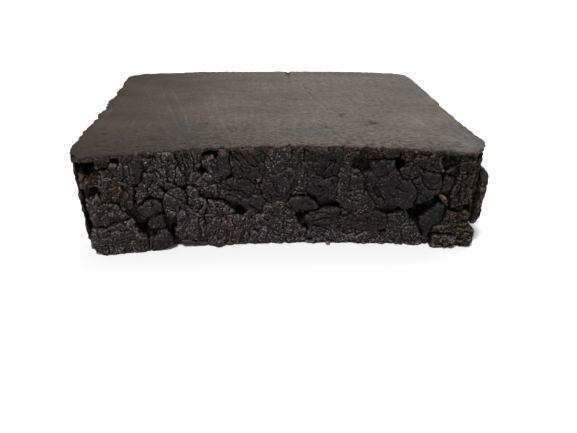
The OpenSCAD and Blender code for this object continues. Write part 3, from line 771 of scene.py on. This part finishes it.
# chips broken out of the front edge of the skin, as (x, half width, depth)
CHIPS = [
    (-26.6, 1.5, 1.7), (-60.5, 1.2, 0.8), (-69, 1.8, 0.8), (1.6, 0.6, 0.8), (-47, 0.8, 0.5),
    (18.6, 0.7, 0.5), (43.5, 1.1, 0.8), (58.5, 1.6, 0.9), (69.3, 0.8, 0.8), (-13, 0.7, 0.4),
]

# the nick in the back edge, at the upright crack, as (x, half width, depth)
NICK = (8.8, 0.8, 0.4)

# paler frosted patches on the skin, as (x, y, half width, half depth, strength)
FROST = [(67, -50, 6, 10, 0.65), (73.5, 10, 2.5, 40, 0.35), (60, 46, 10, 12, 0.3), (20, -45, 30, 8, 0.1)]

# small dark pits in the skin and the crack behind the nick, as (x, y, half width, half depth, depth)
PITS = [
    (37.2, -30.9, 1.5, 1.3, 0.7), (26, -20.5, 1.0, 0.8, 0.35), (25.2, -23.6, 0.6, 0.9, 0.3),
    (-29.1, -31.1, 0.5, 0.9, 0.35), (17.4, -37.5, 0.9, 0.6, 0.3), (15.6, -36, 0.5, 0.5, 0.2),
    (19.2, -39, 0.5, 0.5, 0.2), (8.8, 58.5, 0.95, 4.5, 0.4), (8.8, 52, 0.7, 6.0, 0.2),
    (-67, -38.5, 0.7, 0.7, 0.3), (-4, 21, 3.2, 0.8, 0.12), (42, 8, 0.5, 0.8, 0.15),
    (-8, -14, 0.4, 0.7, 0.15),
]

# wipe marks and scratches on the skin, as (how pale, or how dark below zero, half width, points (x, y))
SCRATCHES = [
    (0.5, 0.45, (-50.6, 26.7), (-45, 5.9), (-40.1, -12.2), (-34.5, -42)),
    (0.3, 0.4, (-55.8, 30), (-48.1, -2), (-42, -25.7), (-35.8, -50.9)),
    (-0.22, 0.5, (-54.4, 30), (-46.8, -2), (-40.8, -25.7), (-34.6, -50.9)),
    (0.35, 0.4, (-60.9, 23.7), (-53.9, -1.9), (-46, -29.9), (-39.2, -49.1)),
    (0.3, 0.4, (-58, 12), (-51, -14), (-44, -38), (-40, -52)),
    (-0.2, 0.4, (-57, 12), (-50, -14), (-43.2, -38)),
    (0.35, 0.4, (-47.3, -29.8), (-40.3, -45.5)),
    (0.6, 0.3, (-24.3, -21.7), (-21.1, -38.5), (-18.2, -53.1)),
    (0.4, 0.3, (-27.6, -20), (-24.6, -36), (-21.4, -52)),
    (0.35, 0.4, (-29.9, 17.2), (-26.1, -12.4), (-22.1, -38.5)),
    (0.3, 0.4, (-33, 12), (-29.4, -16), (-26, -36)),
    (-0.5, 0.42, (14.5, 36.1), (15.3, 18.5), (17, 5), (21.2, -9.3), (25.6, -21.8)),
    (0.5, 0.4, (13.6, 36.1), (14.4, 18.5), (16.1, 5), (20.3, -9.3), (24.7, -21.8)),
    (-0.4, 0.8, (-41.8, 19.2), (-26.3, 22.7), (-13.5, 17.6)),
    (0.4, 0.9, (-44, 15.6), (-28, 18.6), (-16, 14.2)),
    (0.5, 0.6, (1, -50.2), (11.6, -43.1), (22.4, -38.8)),
    (0.5, 0.6, (-3.3, -38.9), (12.4, -36.1), (30.1, -39.8)),
    (0.45, 0.6, (-18.8, -26.2), (-5.2, -19.9), (5.7, -22.4)),
    (0.45, 0.6, (-13.5, -42.5), (-0.9, -40.9), (8.9, -45)),
    (0.4, 0.6, (27, -27.3), (33.3, -22.9), (40.6, -27.6)),
    (0.4, 0.6, (36, -46), (46, -42.6), (58, -46)),
    (0.45, 0.5, (55.6, -23.4), (58.7, -40.5), (63.9, -48.3)),
    (0.6, 0.5, (57.2, -58.3), (64, -50), (71.4, -42)),
    (0.5, 0.4, (61, -59), (67, -53), (72.4, -48)),
    (0.3, 0.5, (44, 30), (49, 8), (52, -12)),
    (-0.3, 0.7, (34, 22), (46, 18.4), (60, 20.6)),
]


# points across the skin and rows from front to back, which are closer together in a strip along the front
ACROSS, FRONT_ROWS, OTHER_ROWS = 360, 12, 140
FRONT_STRIP = 0.035
# the skin's rounded width and depth, for distances from its edges
SKIN_W, SKIN_D = 150, 120
# rows of points down the skin's edge, as (share of the way down, how far the row bulges)
LIP = ((0.2, 0.16), (0.45, 0.24), (0.7, 0.18), (0.9, 0.04))


def spot(x, at, width):
    """A smooth bump from 0 to 1 round a place across."""
    return bell(x - at - MID_X, width)


def blot(x, y, cx, cy, rx, ry):
    """A smooth oval bump from 0 to 1."""
    return np.exp(-(((x - cx - MID_X) / rx) ** 2 + ((y - cy) / ry) ** 2))


def skin_plan(U, V):
    """Places between the skin's four edges: U goes from left to right, V from front to back."""
    left, right, front, back = skin_sections()
    x = SKIN_LO[0] + U * (SKIN_HI[0] - SKIN_LO[0])
    y = -57 + V * 118
    for _ in range(5):
        xl, xr = np.interp(y, *left), np.interp(y, *right)
        yf, yb = np.interp(x, *front), np.interp(x, *back)
        x = xl + U * (xr - xl)
        y = yf + V * (yb - yf)
    return x, y


def on_plan(x, y):
    return np.stack([x.ravel(), y.ravel(), np.zeros(x.size)], 1)


def broken_edges(x, y, U, V):
    """The skin's plan with ragged edges, chips along the front and the nick at the back."""
    flat = on_plan(x, y)
    rag = (0.5 * fbm(flat, 2.6, 161, 3) + 0.4 * fbm(flat, 0.9, 163, 2)).reshape(x.shape)
    lumps = (1.5 * fbm(flat, 8.0, 165, 2) + 0.9 * fbm(flat, 3.4, 167, 2)).reshape(x.shape)
    chips = sum(depth * spot(x, at, width) for at, width, depth in CHIPS)
    y = y + np.exp(-V * SKIN_D / 1.6) * (rag + 0.75 * chips + 0.1)
    y = y + np.exp(-(1 - V) * SKIN_D / 1.6) * (rag - 0.3 - NICK[2] * spot(x, *NICK[:2]))
    x = x + np.exp(-U * SKIN_W / 2.5) * (0.7 * lumps + rag * 0.5 - 0.7)
    x = x + np.exp(-(1 - U) * SKIN_W / 2.0) * (0.22 * lumps + rag * 0.4 + 1.6 - 0.9 * ease(y, -56, -40))
    return x, y


def scratched(flat):
    """How pale and how dark the scratches leave each point."""
    wave = 0.5 * fbm(flat, 9, 189, 2)
    break_up = 0.35 + 0.65 * ease(fbm(flat, 4.0, 191, 3), -0.35, 0.2)
    pale, dark = np.zeros(len(flat)), np.zeros(len(flat))
    for tone, width, *run in SCRATCHES:
        line = bell(run_distance(flat[:, 0] + wave, flat[:, 1] + wave, run), width) * break_up
        pale = np.maximum(pale, tone * line)
        dark = np.maximum(dark, -tone * line)
    return pale, dark


def lip(rim, rim_noise):
    """The rows of points down the skin's edge, bulging and jagged, and the bottom row."""
    bottom = rim.copy()
    hang = 0.2 + 0.5 * ease(MID_X - bottom[:, 0], 55, 63)
    hang = hang * ease(-bottom[:, 1], 46, 52) * np.clip(0.7 + 1.5 * fbm(bottom, 2.4, 193, 2), 0, 1.5)
    bottom[:, 2] = top_z(bottom[:, 0], bottom[:, 1]) - SKIN_T + 0.12 * rim_noise - hang
    along = rim[:, :2] - np.roll(rim[:, :2], 1, 0) + next_of(rim[:, :2]) - rim[:, :2]
    out = np.stack([along[:, 1], -along[:, 0]], 1)
    out = out / (np.linalg.norm(out, axis=1)[:, None] + 1e-9)
    rows = []
    for t, bulge in LIP:
        q = rim * (1 - t) + bottom * t
        jag = 0.5 * fbm(q * (1, 1, 2.2), 1.2, 181 + int(t * 10), 2)
        q[:, :2] += out * (bulge + jag)[:, None]
        rows.append(q)
    return rows + [bottom]


def skin_piece():
    v = np.concatenate([np.linspace(0, FRONT_STRIP, FRONT_ROWS, endpoint=False),
                        np.linspace(FRONT_STRIP, 1, OTHER_ROWS)])
    U, V = np.meshgrid(np.linspace(0, 1, ACROSS), v)
    edge_x = np.minimum(U, 1 - U) * SKIN_W
    edge_y = np.minimum(V, 1 - V) * SKIN_D
    x, y = broken_edges(*skin_plan(U, V), U, V)
    flat = on_plan(x, y)

    # the top: swells, wipe marks, worn edges, pits and scratches
    swell = (0.16 * fbm(flat, 26, 171, 2) + 0.1 * fbm(flat, 9, 173, 2)).reshape(x.shape)
    wipes = (0.035 * fbm(flat * (0.16, 1, 1), 1.5, 175, 2)).reshape(x.shape)
    rim_noise = fbm(flat, 1.8, 177, 3).reshape(x.shape)
    z = top_z(x, y) + swell + wipes
    z = z + 0.45 * rim_noise * np.exp(-edge_y / 1.0) + 0.3 * rim_noise * np.exp(-edge_x / 1.2)
    z = z - 0.3 * np.exp(-edge_y / 0.35) - 0.3 * np.exp(-edge_x / 0.4)
    rough_x = x + (0.5 * fbm(flat, 1.2, 187, 2)).reshape(x.shape)
    hole = np.zeros_like(x)
    for *oval, depth in PITS:
        dent = blot(rough_x, y, *oval)
        z = z - depth * dent
        hole = np.maximum(hole, dent ** 0.6 * min(1.0, depth * 2.5))
    pale, dark = scratched(flat)
    z = z - (0.12 * dark).reshape(x.shape)

    # its quads, the rows down its edge and a fan of triangles below
    top = np.stack([x, y, z], 2).reshape(-1, 3)
    index = np.arange(len(top)).reshape(x.shape)
    quads = np.stack([index[:-1, :-1], index[:-1, 1:], index[1:, 1:], index[1:, :-1]], 2).reshape(-1, 4)
    loop = np.concatenate([index[0, :-1], index[:-1, -1], index[-1, :0:-1], index[:0:-1, 0]])
    rows = lip(top[loop], rim_noise.ravel()[loop])
    hub = [[MID_X, 2.0, top_z(MID_X, 2.0) - SKIN_T]]
    corners = np.concatenate([top] + rows + [hub])
    walls, last = wall_faces(loop, len(top), len(rows))
    fan = np.stack([last, np.full(len(loop), len(corners) - 1), next_of(last)], 1).tolist()
    piece = new_piece("top_skin", corners, quads.tolist() + walls + fan)

    rest = np.zeros(len(corners) - len(top))
    worn = 0.6 * np.exp(-np.minimum(edge_y, edge_x) / 0.5)
    frosted = np.clip(sum(strength * blot(x, y, *oval) for *oval, strength in FROST), 0, 1)
    layers = {"pit": hole, "frost": frosted, "pale": pale, "dark": dark}
    add_layers(piece, rim=np.concatenate([worn.ravel(), rest + 1]),
               **{k: np.concatenate([a.ravel(), rest]) for k, a in layers.items()})
    return piece


# ------------ materials

class Nodes:
    """A short way of wiring a node material."""

    def __init__(self, name):
        self.mat = bpy.data.materials.new(name)
        self.mat.use_nodes = True
        self.tree = self.mat.node_tree
        self.tree.nodes.clear()
        self.bsdf = self.new("BsdfPrincipled")
        self.new("OutputMaterial", Surface=self.bsdf.outputs[0])
        self.where = self.new("TexCoord").outputs["Object"]

    def feed(self, socket, value):
        """Links a value that comes from another node, or sets a fixed one."""
        if hasattr(value, "is_linked"):
            self.tree.links.new(value, socket)
        elif socket.type == "RGBA":
            socket.default_value = (*value, 1)
        else:
            socket.default_value = value

    def new(self, kind, **values):
        n = self.tree.nodes.new("ShaderNode" + kind)
        for name, value in values.items():
            self.feed(n.inputs[name], value)
        return n

    def layer(self, name):
        n = self.new("Attribute")
        n.attribute_name = name
        return n.outputs["Fac"]

    def stretched(self, sx, sy, sz, turn=0.0):
        return self.new("Mapping", Scale=(sx, sy, sz), Rotation=(0, 0, turn), Vector=self.where).outputs[0]

    def noise(self, size_mm, detail=3, rough=0.55, vector=None):
        return self.new("TexNoise", Scale=1000.0 / size_mm, Detail=detail, Roughness=rough,
                        Vector=vector or self.where).outputs["Fac"]

    def cell(self, size_mm):
        return self.new("TexVoronoi", Scale=1000.0 / size_mm, Vector=self.where).outputs

    def ramp(self, value, stops):
        n = self.new("ValToRGB", Fac=value)
        n.color_ramp.interpolation = "EASE"
        while len(n.color_ramp.elements) < len(stops):
            n.color_ramp.elements.new(0.5)
        for e, (at, c) in zip(n.color_ramp.elements, stops):
            e.position = at
            e.color = (*c, 1)
        return n.outputs[0]

    def step(self, value, lo, hi):
        """Goes from 0 to 1 as the value goes from lo to hi; lo may be the larger."""
        return self.new("MapRange", **{"Value": value, "From Min": lo, "From Max": hi}).outputs[0]

    def dots(self, size_mm, reach, core):
        """Round dots in cells of a size: nothing beyond reach, full inside core."""
        return self.step(self.cell(size_mm)["Distance"], reach, core)

    def mix(self, fac, a, b, kind="MIX"):
        n = self.new("Mix")
        n.data_type = "RGBA"
        n.blend_type = kind
        for socket, value in ((n.inputs[0], fac), (n.inputs[6], a), (n.inputs[7], b)):
            self.feed(socket, value)
        return n.outputs[2]

    def math(self, kind, a, b):
        n = self.new("Math")
        n.operation = kind
        self.feed(n.inputs[0], a)
        self.feed(n.inputs[1], b)
        return n.outputs[0]

    def times(self, a, b):
        return self.math("MULTIPLY", a, b)

    def plus(self, a, b):
        return self.math("ADD", a, b)

    def bump(self, height, strength, depth_mm, **before):
        depth = depth_mm * MM
        return self.new("Bump", Strength=strength, Distance=depth, Height=height, **before).outputs[0]

    def surface(self, colour, rough, level, **normal):
        looks = {"Base Color": colour, "Roughness": rough, "Specular IOR Level": level, **normal}
        for name, value in looks.items():
            self.feed(self.bsdf.inputs[name], value)
        return self.mat


def tint(colour, factors, most=1.0):
    return tuple(min(c * k, most) for c, k in zip(colour, factors))


def grey(value):
    return (value,) * 3


def char_material(name, dark, mid, light, rough=0.6, level=0.14):
    m = Nodes(name)
    base = m.ramp(m.noise(0.55, 3, 0.7), [(0.38, dark), (0.54, mid), (0.72, light)])
    patches = m.ramp(m.noise(4.0, 3, 0.55), [(0.36, grey(0.7)), (0.64, grey(1.35))])
    base = m.mix(1.0, base, patches, "MULTIPLY")

    # brown and rusty places, more of them on warm clods
    brown = m.step(m.noise(2.6, 3, 0.62), 0.42, 0.62)
    base = m.mix(m.times(brown, m.layer("warm")), base, tint(mid, (2.4, 1.5, 1.0)))
    rust = m.times(m.step(m.noise(0.8, 3, 0.65), 0.53, 0.62), m.step(m.noise(5.0, 2), 0.45, 0.6))
    base = m.mix(m.times(rust, m.layer("warm")), base, (0.085, 0.044, 0.024))

    # a purple bloom, most of all on clods with many painted glints, and rust just under the skin
    purple = m.plus(m.noise(7.0, 2, 0.5, m.stretched(1, 1, 1, 0.7)), m.times(m.layer("gloss"), 0.08))
    purple = m.step(purple, 0.5, 0.64)
    bloom = m.plus(m.times(m.layer("gloss"), 0.65), 0.17)
    base = m.mix(m.times(purple, bloom), base, tint(mid, (1.65, 1.25, 2.4)))
    under = m.times(m.layer("under"), m.step(m.noise(1.7, 3, 0.6), 0.42, 0.62))
    base = m.mix(under, base, (0.07, 0.034, 0.02))

    # painted highlights: pale crests, most on those that face up, and small pale specks and glints of light
    base = m.mix(m.times(m.layer("crest"), 0.8), base, tint(light, grey(4.2)))
    share = m.plus(m.noise(1.7, 2, 0.5), m.times(m.layer("gloss"), 0.13))
    speck_glints = m.times(m.dots(0.7, 0.34, 0.18), m.step(share, 0.58, 0.63))
    base = m.mix(speck_glints, base, tint(light, (10, 10.5, 11.5), 0.5))
    # painted glints: sparse bright dots in place of light caught by shiny facets
    grain = m.cell(0.85)
    few = m.plus(grain["Color"], m.times(m.layer("gloss"), 0.16))
    glints = m.times(m.step(grain["Distance"], 0.33, 0.22), m.step(few, 0.63, 0.72))
    glints = m.times(glints, m.step(m.noise(2.4, 2, 0.5), 0.45, 0.58))
    base = m.mix(glints, base, tint(light, (12.5, 11.8, 11.8), 0.6))
    base = m.mix(1.0, base, m.layer("tone"), "MULTIPLY")
    # painted shade: hollows, cracks, clod walls and the core seen between clods go nearly black
    base = m.mix(m.times(m.layer("cavity"), 0.93), base, tint(dark, grey(0.1)))
    uneven = m.ramp(m.noise(0.9, 3, 0.6), [(0.38, grey(rough - 0.27)), (0.62, grey(rough + 0.2))])
    lumps = m.bump(m.noise(1.0, 4, 0.7), 1.0, 0.4)
    fine = m.bump(m.cell(0.5)["Distance"], 1.0, 0.26, Normal=lumps)
    return m.surface(base, uneven, level, Normal=fine)


def skin_material():
    m = Nodes("burnished_skin")
    parts = m.new("SeparateXYZ", Vector=m.where).outputs
    # how far to the right, and how near the front
    across = m.step(parts["X"], -HALF_W * MM, HALF_W * MM * 0.15)
    forward = m.step(parts["Y"], -0.026, -0.056)
    base = m.ramp(m.noise(30, 3, 0.6), [(0.32, (0.112, 0.085, 0.065)), (0.68, (0.158, 0.124, 0.098))])
    wipe = m.noise(2.2, 4, 0.65, m.stretched(0.08, 1.0, 1.0, 0.04))
    base = m.mix(0.32, base, m.ramp(wipe, [(0.34, (0.085, 0.063, 0.048)), (0.66, (0.2, 0.16, 0.13))]))

    # short burnish marks, strongest at the front, and longer ones across them
    short = m.noise(0.65, 3, 0.8, m.stretched(0.3, 1.0, 1.0, -0.12))
    grain = m.plus(m.times(forward, 0.5), m.times(across, 0.35))
    base = m.mix(m.plus(grain, 0.13), base,
                 m.ramp(short, [(0.38, (0.045, 0.032, 0.025)), (0.62, (0.26, 0.21, 0.175))]))
    cross = m.noise(1.1, 2, 0.5, m.stretched(1.0, 0.045, 1.0, 0.35))
    base = m.mix(m.times(m.step(cross, 0.56, 0.7), 0.28), base, (0.24, 0.2, 0.165))
    grit = m.times(m.dots(1.6, 0.24, 0.12), m.step(m.noise(6), 0.48, 0.62))
    base = m.mix(m.times(grit, 0.7), base, (0.03, 0.021, 0.016))
    base = m.mix(m.times(m.layer("pale"), 0.7), base, (0.3, 0.26, 0.22))
    base = m.mix(m.layer("dark"), base, (0.035, 0.027, 0.022))

    # darker and browner to the left and to the front, and frosted at the right; the darkening to the left
    # is partly painted shade of the light from the back right
    cloud = m.noise(22, 2, 0.5, m.stretched(0.6, 1.0, 1.0, 0.3))
    cloud = m.ramp(cloud, [(0.34, (0.82, 0.84, 0.85)), (0.66, (1.1, 1.08, 1.06))])
    base = m.mix(1.0, base, cloud, "MULTIPLY")
    # partly painted shade: the left of the skin darker, as the light from the back right leaves it, and
    # browner there
    base = m.mix(1.0, base, m.mix(across, (0.37, 0.335, 0.285), (0.93, 0.965, 0.99)), "MULTIPLY")
    base = m.mix(1.0, base, m.mix(forward, grey(1.0), (0.655, 0.63, 0.62)), "MULTIPLY")
    frost = m.times(m.layer("frost"), m.step(m.noise(3.5, 3, 0.6, m.stretched(1, 0.5, 1, 0.5)), 0.36, 0.62))
    base = m.mix(frost, base, (0.168, 0.168, 0.152))

    # dark pits and a rust-brown broken edge
    base = m.mix(m.times(m.layer("pit"), 0.95), base, (0.008, 0.007, 0.006))
    rust = m.ramp(m.noise(1.1, 3, 0.65), [(0.42, (0.008, 0.006, 0.005)), (0.56, (0.035, 0.02, 0.014)),
                                         (0.7, (0.15, 0.098, 0.07))])
    base = m.mix(m.layer("rim"), base, rust)
    uneven = m.ramp(wipe, [(0.3, grey(0.42)), (0.7, grey(0.64))])
    fine = m.bump(short, 0.8, 0.2, Normal=m.bump(wipe, 0.5, 0.16))
    return m.surface(base, uneven, 0.14, Normal=fine)


def floor_material():
    m = Nodes("pale_floor")
    pale = m.ramp(m.noise(260, 2, 0.5), [(0.3, grey(0.975)), (0.7, grey(0.985))])
    return m.surface(pale, 0.9, 0.1)


# for each char: its dark, middle and light colour, and where it isn't the usual, its roughness and sheen
CHARS = {
    "char": ((0.006, 0.0048, 0.0045), (0.0135, 0.011, 0.0105), (0.0315, 0.0258, 0.0235)),
    "smooth_char": ((0.0046, 0.004, 0.0038), (0.008, 0.0069, 0.0066), (0.0145, 0.0125, 0.012), 0.5, 0.16),
    "brown_rind": ((0.0065, 0.0047, 0.0037), (0.0135, 0.0099, 0.0075), (0.029, 0.0212, 0.0155), 0.7, 0.1),
    "pink_grain": ((0.05, 0.026, 0.023), (0.13, 0.075, 0.066), (0.22, 0.145, 0.13)),
    "orange_chip": ((0.018, 0.009, 0.0055), (0.048, 0.026, 0.015), (0.13, 0.074, 0.042)),
}
MATERIALS = {name: char_material(name, *looks) for name, looks in CHARS.items()}
MATERIALS["burnished_skin"] = skin_material()

# ------------ build the pieces

for node in SLOT:
    if node == "core_mass":
        piece = core_piece()
    elif node == "top_skin":
        piece = skin_piece()
    elif node in END_PIECES:
        piece = rind_piece(node)
    elif node == "base_crumb":
        piece = crumb_piece()
    else:
        piece = clod_piece(node)
    piece.data.materials.append(MATERIALS[SLOT[node]])
    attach(piece, "root")
    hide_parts(node)

# ------------ floor, light and camera

floor_mesh = bpy.data.meshes.new("floor")
FLOOR = 2.5  # metres from the middle to each side
floor_mesh.from_pydata([(-FLOOR, -FLOOR, 0), (FLOOR, -FLOOR, 0), (FLOOR, FLOOR, 0), (-FLOOR, FLOOR, 0)],
                       [], [(0, 1, 2, 3)])
floor = add_object("floor", floor_mesh)
floor.data.materials.append(floor_material())

world = bpy.data.worlds.new("studio")
world.use_nodes = True
sky = world.node_tree.nodes["Background"].inputs
sky["Color"].default_value = (1, 1, 1, 1)
sky["Strength"].default_value = 0.28
scene.world = world


def sun(name, toward, strength, softness):
    data = bpy.data.lights.new(name, "SUN")
    data.energy = strength
    data.angle = math.radians(softness)
    add_object(name, data).rotation_euler = Vector(toward).to_track_quat("Z", "Y").to_euler()


sun("back_light", (0.4, 0.5, 1.0), 0.9, 50)
sun("front_light", (-0.25, -0.42, 1.0), 2.7, 9)

# a hand-held close-up from the front, a little left of the middle, looking down
PITCH, HEADING, ROLL = (math.radians(a) for a in (28.11, -4.49, 1.0))
EYE = Vector((-12.06 + MID_X, -231.78, 109.31)) * MM
LENS_OVER_WIDTH = 526.3 / 577
SENSOR = 36.0

cam_data = bpy.data.cameras.new("camera")
cam_data.sensor_width = SENSOR
cam_data.lens = SENSOR * LENS_OVER_WIDTH
cam_data.clip_start = 0.01
camera = add_object("camera", cam_data)
turn = Matrix.Rotation(HEADING, 3, "Z")
ahead = turn @ Vector((0, math.cos(PITCH), -math.sin(PITCH)))
right = turn @ Vector((1, 0, 0))
above = turn @ Vector((0, math.sin(PITCH), math.cos(PITCH)))
cam_right = math.cos(ROLL) * right + math.sin(ROLL) * above
cam_up = -math.sin(ROLL) * right + math.cos(ROLL) * above
rot = Matrix((cam_right, cam_up, -ahead)).transposed().to_4x4()
camera.matrix_world = Matrix.Translation(EYE) @ rot
scene.camera = camera
scene.view_settings.view_transform = "Standard"
